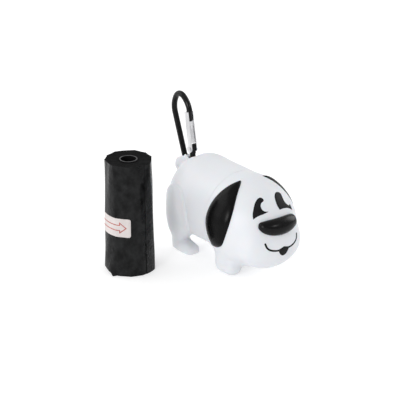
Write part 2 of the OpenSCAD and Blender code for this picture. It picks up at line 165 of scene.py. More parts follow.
def creases(tree, place, bump):
    """Long soft pull creases and sharp little folds in stretched film, and paler patches on its
    wall that are painted sheen.
    """
    links = tree.links
    for scale, size, depth, steps in CREASES:
        stretch = add_node(tree, "Mapping", Scale=scale, Rotation=CREASE_LEAN)
        links.new(place.outputs["Object"], stretch.inputs["Vector"])
        ridges = add_node(tree, "TexNoise", Scale=size, Detail=steps)
        ridges.noise_type = "RIDGED_MULTIFRACTAL"
        links.new(stretch.outputs["Vector"], ridges.inputs["Vector"])
        folded = add_node(tree, "Bump", Strength=CREASE_STRENGTH, Distance=depth)
        links.new(ridges.outputs["Fac"], folded.inputs["Height"])
        links.new(bump.outputs["Normal"], folded.inputs["Normal"])
        bump = folded
    # the wound end that faces up is duller, and the paler patches of painted sheen stay off it, on
    # the wall only
    up = upward(tree)
    roughness = tree.nodes["Principled BSDF"].inputs["Roughness"]
    flat = add_node(tree, "MapRange", To_Max=END_ROUGHER, **END_BAND)
    links.new(up, flat.inputs["Value"])
    rougher = add_node(tree, "Math")
    links.new(roughness.links[0].from_socket, rougher.inputs[0])
    links.new(flat.outputs["Result"], rougher.inputs[1])
    links.new(rougher.outputs["Value"], roughness)
    side = add_node(tree, "MapRange", To_Min=1, To_Max=0, **END_BAND)
    links.new(up, side.inputs["Value"])
    # paler patches of painted sheen, on the wall only
    patch = add_node(tree, "TexNoise", Scale=SHEEN_PATCH_SCALE, Detail=SHEEN_PATCH_STEPS)
    links.new(stretch.outputs["Vector"], patch.inputs["Vector"])
    sheen_patch = add_node(tree, "MapRange", **SHEEN_PATCH_BAND)
    links.new(patch.outputs["Fac"], sheen_patch.inputs["Value"])
    both = add_node(tree, "Math")
    both.operation = "MULTIPLY"
    links.new(side.outputs["Result"], both.inputs[0])
    links.new(sheen_patch.outputs["Result"], both.inputs[1])
    recolour(tree, both.outputs["Value"], high=SHEEN_PATCH_COLOUR)
    return bump


def painted_bore_shade(tree, place, bump):
    """Painted shade: darken the walls of a tube, where its bore lies in shade, and leave the rim
    at its top light.
    """
    recolour(tree, upward(tree), low=BORE_SHADE_COLOUR)
    return bump


VINYL = material(
    "white_vinyl", (0.675, 0.69, 0.722), (0.70, 0.714, 0.742), rough=0.45, spread=0.04,
    tint_scale=45, grain=1500, grain_depth=0.00001,
    Subsurface_Weight=0.15, Subsurface_Scale=0.002, Specular_IOR_Level=0.45,
)
EAR = material(
    "black_ear", (0.002, 0.002, 0.0021), (0.004, 0.004, 0.0042), rough=0.27, spread=0.04,
    tint_scale=90, grain=2200, grain_depth=0.000015, Specular_IOR_Level=0.1,
)
NOSE = material(
    "black_nose", (0.002, 0.002, 0.0021), (0.003, 0.003, 0.0032), rough=0.26, spread=0.04,
    tint_scale=120, grain=1500, grain_depth=0.000008, Specular_IOR_Level=0.17,
)
PRINT = material(
    "black_ink", (0.008, 0.008, 0.0085), (0.014, 0.014, 0.0145), rough=0.5, spread=0.06,
    tint_scale=200, grain=2500, grain_depth=0.00001, Specular_IOR_Level=0.08,
)
ROD = material(
    "black_anodised_rod", (0.003, 0.003, 0.0032), (0.006, 0.006, 0.0064), rough=0.16, spread=0.04,
    tint_scale=260, grain=2600, grain_depth=0.00001, Specular_IOR_Level=0.2,
)
GATE = material(
    "bright_gate", (0.5, 0.5, 0.515), (0.86, 0.86, 0.87), rough=0.2, spread=0.04,
    tint_scale=420, grain=1800, grain_depth=0.000006, streak=(1, 1, 0.08), Metallic=1.0,
)
STEEL = material(
    "steel_pin", (0.55, 0.55, 0.56), (0.72, 0.72, 0.73), rough=0.3, spread=0.06,
    tint_scale=500, grain=3000, grain_depth=0.00001, Metallic=1.0,
)
FILM = material(
    "black_film", (0.003, 0.0031, 0.0032), (0.005, 0.0052, 0.0054), rough=0.2, spread=0.08,
    tint_scale=130, grain=1600, grain_depth=0.00002, detail=creases, Specular_IOR_Level=0.1,
)
CORE = material(
    "grey_core", (0.07, 0.07, 0.072), (0.11, 0.11, 0.113), rough=0.6, spread=0.1,
    # the core's walls get painted shade, its top rim stays light
    tint_scale=400, grain=1200, grain_depth=0.00006, detail=painted_bore_shade, Specular_IOR_Level=0.1,
)
LABEL = material(
    "label_paper", (0.54, 0.495, 0.485), (0.61, 0.565, 0.555), rough=0.55, spread=0.06,
    tint_scale=160, grain=2600, grain_depth=0.00002,
)
INK = material(
    "red_ink", (0.3, 0.04, 0.028), (0.44, 0.08, 0.06), rough=0.5, spread=0.06,
    tint_scale=700, grain=2600, grain_depth=0.00001,
)

# ---------------------------------------------------------------- mesh tools

PROBE = 0.02                            # step that slopes are measured over
SLAB = 8                                # grid layers that are worked out at a time
MEAN_PULL = 0.04                        # how strongly a vertex keeps amid its crossings
CELL_SLACK = 0.05                       # how many steps a vertex may leave its cell by
ROW_PITCH = 0.866                       # rows of a triangular grid
RING_KEPT = 0.96                        # share of a ring's distance that its points keep
GRID_CLEAR = 0.55                       # steps between the last ring and the points inside
MERGE = 1e-6                            # points nearer than this become one

SHELL_CREASE, FILM_CREASE, TRIM_CREASE = 38, 50, 60     # degrees from which an edge is shown sharp


def make_piece(name, shape, mat, body, node, crease):
    """A visible piece from its points and faces, in place of a node of the part."""
    points, faces = shape
    mesh = bpy.data.meshes.new(name)
    points = [tuple(p) for p in np.asarray(points) * MM]
    mesh.from_pydata(points, [], [tuple(map(int, f)) for f in faces])
    mesh.validate()
    mesh.shade_smooth()
    mesh.set_sharp_from_angle(angle=math.radians(crease))
    mesh.materials.append(mat)
    piece = bpy.data.objects.new(name, mesh)
    bpy.context.scene.collection.objects.link(piece)
    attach(piece, body)
    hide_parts(node)


def length(v):
    return np.sqrt((v * v).sum(-1))


def blend_in(a, b, reach):
    """Both forms, run together over that reach."""
    h = np.clip(0.5 + 0.5 * (b - a) / reach, 0, 1)
    return b + (a - b) * h - reach * h * (1 - h)


def cut_by(a, b, reach):
    """What the two forms share, with its edge rounded over that reach."""
    return -blend_in(-a, -b, reach)


def leaned(p, centre, lean):
    """Points about a centre, for a form there that leans forward about X."""
    c, s = math.cos(math.radians(lean)), math.sin(math.radians(lean))
    return (p - np.array(centre, float)) @ np.array([[1, 0, 0], [0, c, -s], [0, s, c]])


def tapered(p, start, end, start_r, end_r):
    """Round-ended rod whose radius changes along it."""
    start, end = np.array(start, float), np.array(end, float)
    from_start, run = p - start, end - start
    h = np.clip((from_start @ run) / (run @ run), 0, 1)
    return length(from_start - h[..., None] * run) - (start_r + (end_r - start_r) * h)


def egg(p, centre, size, lean=0.0):
    q = leaned(p, centre, lean)
    r = np.array(size, float)
    k0, k1 = length(q / r), length(q / (r * r))
    return np.where(k1 > TINY, k0 * (k0 - 1) / np.maximum(k1, TINY), -r.min())


def block(p, centre, half, edge, lean):
    """Box with rounded edges."""
    q = np.abs(leaned(p, centre, lean)) - (np.array(half, float) - edge)
    return length(np.maximum(q, 0)) + np.minimum(q.max(-1), 0) - edge


def barrel(p, front, rear, radius, edge, z):
    """Cylinder along Y with rounded ends."""
    rr = np.sqrt(p[..., 0] ** 2 + (p[..., 2] - z) ** 2)
    dy = np.abs(p[..., 1] - (front + rear) / 2) - ((rear - front) / 2 - edge)
    dr = rr - (radius - edge)
    outer = np.sqrt(np.maximum(dy, 0) ** 2 + np.maximum(dr, 0) ** 2)
    return np.minimum(np.maximum(dy, dr), 0) + outer - edge


def disc(p, front, rear, radius, z):
    """Cylinder along Y with flat ends."""
    rr = np.sqrt(p[..., 0] ** 2 + (p[..., 2] - z) ** 2) - radius
    return np.maximum(rr, np.abs(p[..., 1] - (front + rear) / 2) - (rear - front) / 2)


def slope(field, p):
    """Unit direction in which the field grows."""
    g = np.stack([field(p + PROBE * e) - field(p - PROBE * e) for e in np.eye(3)], -1)
    return g / np.maximum(length(g), TINY)[..., None]


def contour(field, low, high, step):
    """Points and quads of the surface where field is zero, with its sharp edges kept."""
    low, high = np.array(low, float), np.array(high, float)
    n = np.ceil((high - low) / step).astype(int) + 1
    lines = [low[k] + step * np.arange(n[k]) for k in range(3)]
    grid = np.stack(np.meshgrid(*lines, indexing="ij"), -1)
    value = np.empty(tuple(n))
    for i in range(0, n[0], SLAB):
        value[i:i + SLAB] = field(grid[i:i + SLAB])

    def number(idx):
        return (idx[:, 0] * n[1] + idx[:, 1]) * n[2] + idx[:, 2]

    # grid edges that cross the surface: each gives a quad and a point on it for four cells
    cells, points, normals, quads = [], [], [], []
    for axis in range(3):
        near, far = [slice(None)] * 3, [slice(None)] * 3
        near[axis], far[axis] = slice(None, -1), slice(1, None)
        a, b = value[tuple(near)], value[tuple(far)]
        idx = np.argwhere((a < 0) != (b < 0))
        va, vb = a[tuple(idx.T)], b[tuple(idx.T)]
        p = low + step * idx
        p[:, axis] += step * va / (va - vb)
        e1, e2 = np.eye(3, dtype=int)[(axis + 1) % 3], np.eye(3, dtype=int)[(axis + 2) % 3]
        ring = np.stack([number(idx - e) for e in (0 * e1, e1, e1 + e2, e2)], 1)
        quads.append(np.where((va < 0)[:, None], ring, ring[:, ::-1]))
        g = slope(field, p)
        for k in range(4):
            cells.append(ring[:, k])
            points.append(p)
            normals.append(g)
    cells, points, normals = np.concatenate(cells), np.concatenate(points), np.concatenate(normals)
    used, where = np.unique(cells, return_inverse=True)
    where = where.ravel()

    def total(weights):
        return np.bincount(where, weights=weights, minlength=len(used))

    # each cell's vertex lies where the planes through its crossings meet best
    count = total(np.ones(len(cells)))
    mean = np.stack([total(points[:, k]) for k in range(3)], 1) / count[:, None]
    along = (normals * points).sum(1)
    right = np.stack([total(normals[:, k] * along) for k in range(3)], 1)
    left = np.empty((len(used), 3, 3))
    for i in range(3):
        for j in range(3):
            left[:, i, j] = total(normals[:, i] * normals[:, j])
    pull = MEAN_PULL * count
    left += pull[:, None, None] * np.eye(3)
    right += pull[:, None] * mean
    spot = np.linalg.solve(left, right[..., None])[..., 0]
    cell = np.stack([used // (n[1] * n[2]), used // n[2] % n[1], used % n[2]], 1)
    slack = CELL_SLACK * step
    spot = np.clip(spot, low + step * cell - slack, low + step * (cell + 1) + slack)
    return spot, np.searchsorted(used, np.concatenate(quads))


def away(loops, p):
    """Distance of each 2-D point to the loops, positive inside (even-odd)."""
    best = np.full(len(p), np.inf)
    odd = np.zeros(len(p), bool)
    for loop in loops:
        ends = np.roll(loop, -1, 0)
        for a, b in zip(loop, ends):
            ab, ap = b - a, p - a
            t = np.clip((ap @ ab) / max(ab @ ab, TINY), 0, 1)
            best = np.minimum(best, length(ap - t[:, None] * ab))
            if a[1] != b[1]:
                level = (a[1] > p[:, 1]) != (b[1] > p[:, 1])
                odd ^= level & (p[:, 0] < ab[0] * (p[:, 1] - a[1]) / ab[1] + a[0])
    return np.where(odd, best, -best)


def smooth_loop(points, step):
    """Closed outline through the points, round except at those marked with a third value."""
    pts = [np.array(q[:2], float) for q in points]
    sharp = [len(q) > 2 for q in points]
    n = len(pts)
    out = []
    for i in range(n):
        p1, p2 = pts[i], pts[(i + 1) % n]
        chord = p2 - p1
        p0 = p1 - chord if sharp[i] else pts[i - 1]
        p3 = p2 + chord if sharp[(i + 1) % n] else pts[(i + 2) % n]
        pieces = max(2, int(round(np.linalg.norm(chord) / step)))
        d01, d12, d23 = [max(np.linalg.norm(v), TINY) ** 0.5 for v in (p1 - p0, chord, p3 - p2)]
        m1 = chord - d12 * (chord / d12 - (p1 - p0) / d01) * d12 / (d01 + d12)
        m2 = chord - d12 * (chord / d12 - (p3 - p2) / d23) * d12 / (d12 + d23)
        if sharp[i]:
            m1 = 1.5 * chord - 0.5 * m2
        if sharp[(i + 1) % n]:
            m2 = 1.5 * chord - 0.5 * m1
        for k in range(pieces):
            t = k / pieces
            out.append((2 * t**3 - 3 * t**2 + 1) * p1 + (t**3 - 2 * t**2 + t) * m1
                       + (3 * t**2 - 2 * t**3) * p2 + (t**3 - t**2) * m2)
    return np.array(out)


def divided(path, step):
    """The closed path with points added about a step apart."""
    out = []
    for a, b in zip(path, np.roll(path, -1, 0)):
        n = max(1, int(np.linalg.norm(b - a) / step))
        out += [a + (b - a) * k / n for k in range(n)]
    return np.array(out)


def relief(loops, lift, height, step, rings, sunk):
    """Closed low relief on a curved surface.

    lift(points, h) puts plane points h above the surface, height gives h from the distance to the
    outline, rings are the distances at which extra points follow the outline, and the underside
    lies as deep as sunk.
    """
    flat = list(np.concatenate(loops))
    edges, start = [], 0
    for loop in loops:
        n = len(loop)
        edges += [(start + i, start + (i + 1) % n) for i in range(n)]
        start += n
    for ring_at in rings:
        for loop in loops:
            run = np.roll(loop, -1, 0) - np.roll(loop, 1, 0)
            side = np.stack([-run[:, 1], run[:, 0]], 1) / np.maximum(length(run), TINY)[:, None]
            for sign in (-1, 1):
                spot = loop + sign * ring_at * side
                flat += list(spot[away(loops, spot) > RING_KEPT * ring_at])
    outline = np.concatenate(loops)
    lo, hi = outline.min(0), outline.max(0)
    xs = np.arange(lo[0], hi[0], step)
    ys = np.arange(lo[1], hi[1], step * ROW_PITCH)
    grid = np.array([(x + (j % 2) * step / 2, y) for j, y in enumerate(ys) for x in xs])
    flat += list(grid[away(loops, grid) > max(rings, default=0.0) + GRID_CLEAR * step])
    verts, _, tris, *_ = delaunay_2d_cdt([Vector(q) for q in flat], edges, [], 1, MERGE)
    verts = np.array([tuple(v) for v in verts])
    mids = np.array([verts[list(t)].mean(0) for t in tris])
    tris = [tuple(t) for t, d in zip(tris, away(loops, mids)) if d > 0]
    depth = np.maximum(away(loops, verts), 0)
    top = lift(verts, height(depth))
    low = lift(verts, np.full(len(verts), -sunk))
    n = len(verts)
    faces = tris + [tuple(n + i for i in reversed(t)) for t in tris]
    runs = [(t[i], t[(i + 1) % 3]) for t in tris for i in range(3)]
    inner = set(runs)
    faces += [(j, i, n + i, n + j) for i, j in runs if (j, i) not in inner]
    return np.concatenate([top, low]), faces


def joined(one, two):
    """Two shapes as one."""
    more = len(one[0])
    return np.concatenate([one[0], two[0]]), one[1] + [tuple(i + more for i in f) for f in two[1]]


# ---------------------------------------------------------------- puppy

SEAM = -9.5                             # Y where the two shells meet
HAIRLINE = 0.008                        # how far each shell stays off the seam
BODY_Z = 28.9                           # height of the trunk's axis

BOW = np.array([0, 33.2, 46.9])         # centre of the slot that the hook's bow lies in
BAR = BOW + (0, 0.3, -0.65)             # cross bar that the hook hangs on
BAR_R, BAR_HALF = 0.9, 2.35
SLOT_HALF, SLOT_R = 1.95, 5.55
SLOT_OPEN_FROM = -0.5                   # behind this Y from the bow, the slot is open to the top

# the forms of the outside; those beside the middle are the right ones, which the left ones mirror
TRUNK = dict(front=-30, rear=33.0, radius=22.4, edge=16, z=BODY_Z)
SHOULDER = dict(centre=(0, 20.0, 29.0), size=(19.0, 14.5, 22.2))
HOLLOW_HALF, HOLLOW_FROM = 4, 22.5      # hollow in the shoulder that the swung hook lies in
SKULL = dict(centre=(0, -20.5, 26.2), size=(24.0, 24.4, 23.8))
MUZZLE = dict(centre=(0, -36.5, 19.0), size=(18.8, 10.4, 13.0))
HAUNCH = dict(centre=(-15.8, 19.0, 22.5), size=(8.2, 9.2, 14.5), lean=4)
PAD = dict(front=-30, rear=34.0, radius=23.7, edge=17, z=BODY_Z)
PAD_OVAL = dict(centre=(0, 18.8, 24.6), size=(1, 12.2, 15.4), lean=4)
PAD_INNER = 9                           # the haunch's pad ends so far from the middle
SHANK = dict(start=(-15.2, 20.8, 14), end=(-14.0, 22.6, 5.0), start_r=5.6, end_r=4.6)
FOOT = dict(centre=(-13.8, 18.5, 1.8), half=(4.1, 8.4, 4.4), edge=3.0, lean=14)
LEG = dict(start=(-13.8, -17.0, 18), end=(-13.8, -17.5, 6.2), start_r=6.5, end_r=6.2)
TOE = dict(start=(-13.8, -17.6, 5.4), end=(-13.8, -21.5, 4.8), start_r=6.1, end_r=5.4)
TAIL_LOBE = dict(start=(0, 36.8, 41.2), end=BAR, start_r=5.3, end_r=2.6)
TAIL_ROOT = dict(start=(0, 28.3, 38.4), end=(0, 36.8, 40.8), start_r=5.2, end_r=4.8)

# over what reach each form runs into the rest, or has its edge rounded
REACH = dict(
    shoulder=3, head=4, pad_edge=1.2, pad_inner=1.0, pad=2, shank=3, foot=1.5, hind_leg=0.5,
    toe=1, front_leg=2, tail=5, soles=0.8, outlet_lip=0.6, outlet_hole=0.5,
)

# the hollows and hidden features of the two shells
BAY = dict(front=-60, rear=30.0, radius=20.4, edge=14, z=BODY_Z)
OUTLET_LIP = dict(front=30, rear=34.0, radius=8.2, z=26.9)
OUTLET_HOLE = dict(front=20, rear=50, radius=6.0, z=26.9)
RIM = SEAM - 2
SPIGOT = dict(front=RIM, rear=SEAM + 8, radius=20.32, z=BODY_Z)
SPIGOT_BORE = dict(front=RIM - 1, rear=SEAM + 9, radius=18.72, z=BODY_Z)
SKULL_BORE_R = 22.1
MUZZLE_BORE = dict(centre=MUZZLE["centre"], size=(16.8, 8.4, 11.0))


def skin(p):
    """The puppy's outside, all of it, as one blended form."""
    m = p.copy()
    m[..., 0] = -np.abs(m[..., 0])
    hollow = np.maximum(np.abs(p[..., 0]) - HOLLOW_HALF, HOLLOW_FROM - p[..., 1])
    shoulder = cut_by(egg(p, **SHOULDER), -hollow, REACH["shoulder"])
    d = blend_in(barrel(p, **TRUNK), shoulder, REACH["shoulder"])
    d = blend_in(d, egg(p, **SKULL), REACH["head"])
    d = blend_in(d, egg(p, **MUZZLE), REACH["head"])
    pad = cut_by(barrel(m, **PAD), egg(m * (0, 1, 1), **PAD_OVAL), REACH["pad_edge"])
    pad = cut_by(pad, m[..., 0] + PAD_INNER, REACH["pad_inner"])
    hind_leg = blend_in(egg(m, **HAUNCH), pad, REACH["pad"])
    hind_leg = blend_in(hind_leg, tapered(m, **SHANK), REACH["shank"])
    hind_leg = blend_in(hind_leg, block(m, **FOOT), REACH["foot"])
    d = blend_in(d, hind_leg, REACH["hind_leg"])
    front_leg = blend_in(tapered(m, **LEG), tapered(m, **TOE), REACH["toe"])
    d = blend_in(d, front_leg, REACH["front_leg"])
    tail = np.minimum(tapered(p, **TAIL_LOBE), tapered(p, **TAIL_ROOT))
    d = blend_in(d, tail, REACH["tail"])
    return cut_by(d, -p[..., 2], REACH["soles"])


def rear_field(p):
    """The rear shell: its outside, the bay for a roll, the outlet, and the tail's slot and bar."""
    d = blend_in(skin(p), disc(p, **OUTLET_LIP), REACH["outlet_lip"])
    d = np.maximum(d, SEAM + HAIRLINE - p[..., 1])
    d = np.maximum(d, -barrel(p, **BAY))
    d = cut_by(d, -disc(p, **OUTLET_HOLE), REACH["outlet_hole"])
    q = p - BOW
    wide = np.abs(q[..., 0]) - SLOT_HALF
    bow = np.sqrt(q[..., 1] ** 2 + q[..., 2] ** 2) - SLOT_R
    mouth = np.maximum(SLOT_OPEN_FROM - q[..., 1], -SLOT_R - q[..., 2])
    d = np.maximum(d, -np.maximum(wide, np.minimum(bow, mouth)))
    r = p - BAR
    bar = np.sqrt(r[..., 1] ** 2 + r[..., 2] ** 2) - BAR_R
    return np.minimum(d, np.maximum(bar, np.abs(r[..., 0]) - BAR_HALF))


def front_field(p):
    """The front shell: its outside, the hollow head, and the spigot that plugs into the rear."""
    d = np.maximum(skin(p), p[..., 1] - SEAM + HAIRLINE)
    skull_bore = length(p - np.array(SKULL["centre"])) - SKULL_BORE_R
    hollow = np.minimum(np.maximum(skull_bore, p[..., 1] - RIM), egg(p, **MUZZLE_BORE))
    d = np.maximum(np.minimum(d, disc(p, **SPIGOT)), -hollow)
    return np.maximum(d, -disc(p, **SPIGOT_BORE))


SHELL_STEP = 0.8
SHELLS = (  # piece, field, box that holds it, body, node
    ("rear_skin", rear_field, (-26, -10.3, -0.9), (26, 42, 54), "dispenser", "rear_shell"),
    ("front_skin", front_field, (-26, -50, -0.9), (26, -0.9, 54), "head", "front_shell"),
)


def build_shells():
    for name, field, low, high, body, node in SHELLS:
        make_piece(name, contour(field, low, high, SHELL_STEP), VINYL, body, node,
                   SHELL_CREASE)


# ---------------------------------------------------------------- face

FACE_START_Y = -20.0                    # rays to the face start here, inside the head
SIDE_AXIS_Z = SKULL["centre"][2]        # rays to the ears start on this axis
HEAD_R = 24.0
SIDE_RAY_START, RAY_END = 8, 40
HALVINGS = 40

# Outlines. The ears are arc up the side of the head and Y, the rest X and Z. A third value marks a
# sharp corner.
EAR_OUTLINE = [
    (32.1, -19.1, 1), (30.7, -20.7), (17.6, -27.6), (8.8, -29.0), (0.0, -27.6), (-6.4, -24.5),
    (-8.6, -21.6), (-9.7, -18.6), (-9.5, -16.2), (-6.6, -14.6), (0.1, -12.3), (4.8, -11.5),
    (11.9, -12.3), (19.1, -14.3), (25.8, -16.7),
]
NOSE_OUTLINE = [
    (-11.6, 32.0), (-10.9, 34.5), (-8.0, 35.4), (0, 35.8), (7.6, 35.3), (10.9, 34.2), (12.1, 31.4),
    (10.9, 28.6), (6.0, 27.3), (0.3, 27.0), (-6.0, 27.8), (-9.8, 29.5),
]
EYE_RIGHT = [
    (-12.9, 36.5, 1), (-12.4, 38.6), (-11.3, 40.6), (-9.0, 43.4), (-6.2, 45.2), (-4.4, 45.4),
    (-3.8, 44.6), (-4.4, 44.0), (-5.9, 43.4), (-7.1, 42.0), (-7.0, 40.4), (-5.8, 39.7),
    (-4.1, 39.5, 1), (-7.2, 38.7), (-10.3, 37.9),
]
EYE_LEFT = [
    (2.7, 38.9, 1), (2.2, 41.5), (3.3, 44.3), (5.6, 45.4), (8.0, 45.0), (9.3, 44.0), (8.9, 42.6),
    (8.7, 41.2), (9.4, 39.8), (10.7, 38.6), (11.7, 38.1), (12.5, 38.3), (13.3, 35.2, 1),
    (9.6, 37.6), (6.4, 38.6),
]
TONGUE = [
    (-2.6, 19.2), (-1.2, 19.5), (0.9, 20.6, 1), (3.0, 19.5), (4.4, 19.2), (3.9, 17.6), (2.6, 15.9),
    (0.9, 15.2), (-0.8, 15.9), (-2.1, 17.6),
]
MOUTH = [(-10.0, 23.9), (-9.4, 21.9), (-8.0, 20.5), (-5.6, 19.5), (-2.6, 19.1), (0.9, 20.0)]
MOUTH_MIDDLE = 0.9                      # X where its two halves meet
MOUTH_WIDTH = 1.0
ARC_POINTS = 9                          # of the half circle at a stroke's end

# spacing of the points along an outline, and of those inside it
EAR_STEP, EAR_GRID = 0.6, 0.9
NOSE_STEP, NOSE_GRID = 0.5, 0.7
EYE_STEP, MOUTH_STEP, TONGUE_STEP, PRINT_GRID = 0.35, 0.35, 0.3, 0.7

# The photograph shows the left ear as a thin line only: it lies lower, most so at its front edge.
EARS = (  # piece, node, on the left, drop, rise and width of its rounded edge
    ("ear_skin_right", "ear_right", False, 0.0, (1.9, 5.6)),
    ("ear_skin_left", "ear_left", True, 3.7, (1.0, 3.4)),
)
DROP_REAR, DROP_MORE = 0.8, 0.5         # share of the drop behind, and what is added in front
DROP_FROM, DROP_OVER = -19, 5           # Y where that begins, and over what length
EAR_RINGS = (0.05, 0.18, 0.4, 0.75, 1.3, 2.0, 2.8)
NOSE_RISE = (3.4, 4.2)
NOSE_RINGS = (0.05, 0.15, 0.35, 0.7, 1.2, 1.9, 2.8)
TRIM_SUNK = 0.4

PRINT_RINGS, PRINT_SUNK = (0.08,), 0.15
PRINT_RISE, PRINT_EDGE_RISE = 0.12, 0.06
EDGE = 0.01                             # nearer than this counts as the outline itself


def surface_along(start, direction, near, far):
    """Where rays leave the skin; at near they are inside it, at far outside."""
    a = np.full(len(start), float(near))
    b = np.full(len(start), float(far))
    for _ in range(HALVINGS):
        mid = (a + b) / 2
        out = skin(start + mid[:, None] * direction) > 0
        b = np.where(out, mid, b)
        a = np.where(out, a, mid)
    return start + a[:, None] * direction


def raised(points, h):
    """Points of the skin moved out by h."""
    return points + slope(skin, points) * np.broadcast_to(h, (len(points),))[:, None]


def on_face(uv, h):
    """Plane points as X and Z, put on the face from the front."""
    start = np.stack([uv[:, 0], np.full(len(uv), FACE_START_Y), uv[:, 1]], 1)
    return raised(surface_along(start, np.array([[0, -1.0, 0]]), 0, RAY_END), h)


def on_side(uv, h):
    """Plane points as arc up the right side of the head and Y, put on the head."""
    turn = uv[:, 0] / HEAD_R
    start = np.stack([np.zeros(len(uv)), uv[:, 1], np.full(len(uv), SIDE_AXIS_Z)], 1)
    ray = np.stack([-np.cos(turn), np.zeros(len(uv)), np.sin(turn)], 1)
    return raised(surface_along(start, ray, SIDE_RAY_START, RAY_END), h)


def pillow(rise, width):
    """Height of a cushion that is rounded over that width from its outline."""
    return lambda d: rise * np.sqrt(1 - (1 - np.clip(d / width, 0, 1)) ** 2)


def print_height(d):
    return np.where(d > EDGE, PRINT_RISE, PRINT_EDGE_RISE)


def stroke(points, width, step):
    """Outline of a round-ended line of that width through the points."""
    pts = np.array(points, float)
    fine = []
    for i in range(len(pts) - 1):
        p0 = pts[i - 1] if i else 2 * pts[0] - pts[1]
        p3 = pts[i + 2] if i + 2 < len(pts) else 2 * pts[-1] - pts[-2]
        n = max(2, int(np.linalg.norm(pts[i + 1] - pts[i]) / step))
        for k in range(n):
            t = k / n
            fine.append(0.5 * (2 * pts[i] + (pts[i + 1] - p0) * t
                               + (2 * p0 - 5 * pts[i] + 4 * pts[i + 1] - p3) * t**2
                               + (3 * pts[i] - p0 - 3 * pts[i + 1] + p3) * t**3))
    fine.append(pts[-1])
    fine = np.array(fine)
    run = np.gradient(fine, axis=0)
    run /= length(run)[:, None]
    side = np.stack([-run[:, 1], run[:, 0]], 1) * width / 2
    ends = []
    for at, d in ((fine[-1], run[-1]), (fine[0], -run[0])):
        base = math.atan2(d[1], d[0])
        ends.append([at + width / 2 * np.array([math.cos(base + a), math.sin(base + a)])
                     for a in np.linspace(math.pi / 2, -math.pi / 2, ARC_POINTS)[1:-1]])
    return np.array(list(fine + side) + ends[0] + list((fine - side)[::-1]) + ends[1])


def build_face():
    for name, node, mirrored, drop, rounding in EARS:
        outline = smooth_loop(EAR_OUTLINE, EAR_STEP)
        front = np.clip((DROP_FROM - outline[:, 1]) / DROP_OVER, 0, 1)
        outline[:, 0] -= drop * (DROP_REAR + DROP_MORE * front)
        points, faces = relief([outline], on_side, pillow(*rounding), EAR_GRID, EAR_RINGS,
                               TRIM_SUNK)
        if mirrored:
            points, faces = points * (-1, 1, 1), [tuple(reversed(f)) for f in faces]
        make_piece(name, (points, faces), EAR, "head", node, TRIM_CREASE)
    nose = relief([smooth_loop(NOSE_OUTLINE, NOSE_STEP)], on_face, pillow(*NOSE_RISE), NOSE_GRID,
                  NOSE_RINGS, TRIM_SUNK)
    make_piece("nose_skin", nose, NOSE, "head", "nose", TRIM_CREASE)

    def printed(loop):
        return relief([loop], on_face, print_height, PRINT_GRID, PRINT_RINGS, PRINT_SUNK)

    half = stroke(MOUTH, MOUTH_WIDTH, MOUTH_STEP)
    other = half * (-1, 1) + (2 * MOUTH_MIDDLE, 0)
    for name, node, shape in (
        ("eye_print_right", "eye_right", printed(smooth_loop(EYE_RIGHT, EYE_STEP))),
        ("eye_print_left", "eye_left", printed(smooth_loop(EYE_LEFT, EYE_STEP))),
        ("tongue_print_skin", "tongue_print", printed(smooth_loop(TONGUE, TONGUE_STEP))),
        ("mouth_print", "smile_line", joined(printed(half), printed(other))),
    ):
        make_piece(name, shape, PRINT, "head", node, TRIM_CREASE)


# ---------------------------------------------------------------- hook


def dress(node, mat):
    """Give one of the part's own solids a material."""
    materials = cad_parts[node].data.materials
    materials.clear()
    materials.append(mat)


def build_hook():
    dress("hook_body", ROD)
    dress("hook_gate", GATE)
    dress("gate_rivet", STEEL)
    dress("gate_spring", STEEL)


# ---------------------------------------------------------------- spare roll

ROLL_X, ROLL_Y, ROLL_H = -50.8, 19.4, 62.1
ROLL_LOW, ROLL_HIGH = 13.5, 12.6        # radius at the floor and at the top
ROLL_INSET = 0.35                       # how much less the film's mean radius is
CORE_R = 4.85
FILM_ROWS, FILM_COLS, END_RINGS = 96, 240, 28

FLATS = 10                              # flat sides of the wound film
FLAT_TURN, FLAT_TWIST, FLAT_UNEVEN = 0.3, 0.003, 0.12   # radians, radians per mm, radians
FLAT_DEPTH = 0.22
FLAT_SOFT, FLAT_CRISP = 0.6, 0.4        # how strong the flats are, and what the top adds
CRISP_FROM, CRISP_OVER = 0.82, 0.18     # shares of the height
RIPPLE = 0.05
WAVES, WAVE_SEED, MOST_TURNS = 14, 4, 14
WAVE_FADE = 0.7                         # how much weaker the finer waves are, as a power
WAVE_PITCH, WAVE_PHASE = (0.02, 0.35), (0, 6.3)         # radians per mm, radians

CORNER_AT = math.radians(197)           # bearing of the film's free corner
CORNER_OUT, CORNER_HEIGHT = 2.3, 12
CORNER_BEFORE, CORNER_AFTER = 0.9, 0.1  # radians over which it rises and falls
CORNER_POWER, CORNER_FADE = 1.5, 1.4    # how it curves along the turn, and up the roll
LIFT_AT, LIFT = (-1.9, -0.97, -0.1, 0), (0, 2.6, 1.5, 0)    # radians from the corner, lift there
LIFT_HEIGHT = 14

RING_WAVES, RING_RISE = 9.5, 0.25       # windings that show on the ends
END_DISH, TOP_INSET, FOOT_INSET = 0.35, 0.1, 0.05

FLAP_FROM, FLAP_TO = math.radians(276), math.radians(336)
FLAP_ROWS, FLAP_COLS = 90, 60
FLAP_RISE, FLAP_SUNK, FLAP_SHORT = 0.28, 0.12, 0.2
FLAP_TAPER, FLAP_THIN = 2.2, 0.05       # how fast it thins out, and what is left at its end


def wave(turn, z):
    """Smooth repeatable noise of a bearing and a height, made of seeded waves."""
    rng = np.random.default_rng(WAVE_SEED)
    out = np.zeros(np.broadcast(turn, z).shape)
    for _ in range(WAVES):
        k = rng.integers(1, MOST_TURNS)
        strength = rng.normal() / k**WAVE_FADE
        pitch = rng.uniform(*WAVE_PITCH)
        hand = rng.choice((-1, 1))
        out += strength * np.sin(k * turn + pitch * z * hand + rng.uniform(*WAVE_PHASE))
    return out


def past_corner(turn):
    """Bearing from the film's free corner, negative before it."""
    return (turn - CORNER_AT + np.pi) % (2 * np.pi) - np.pi


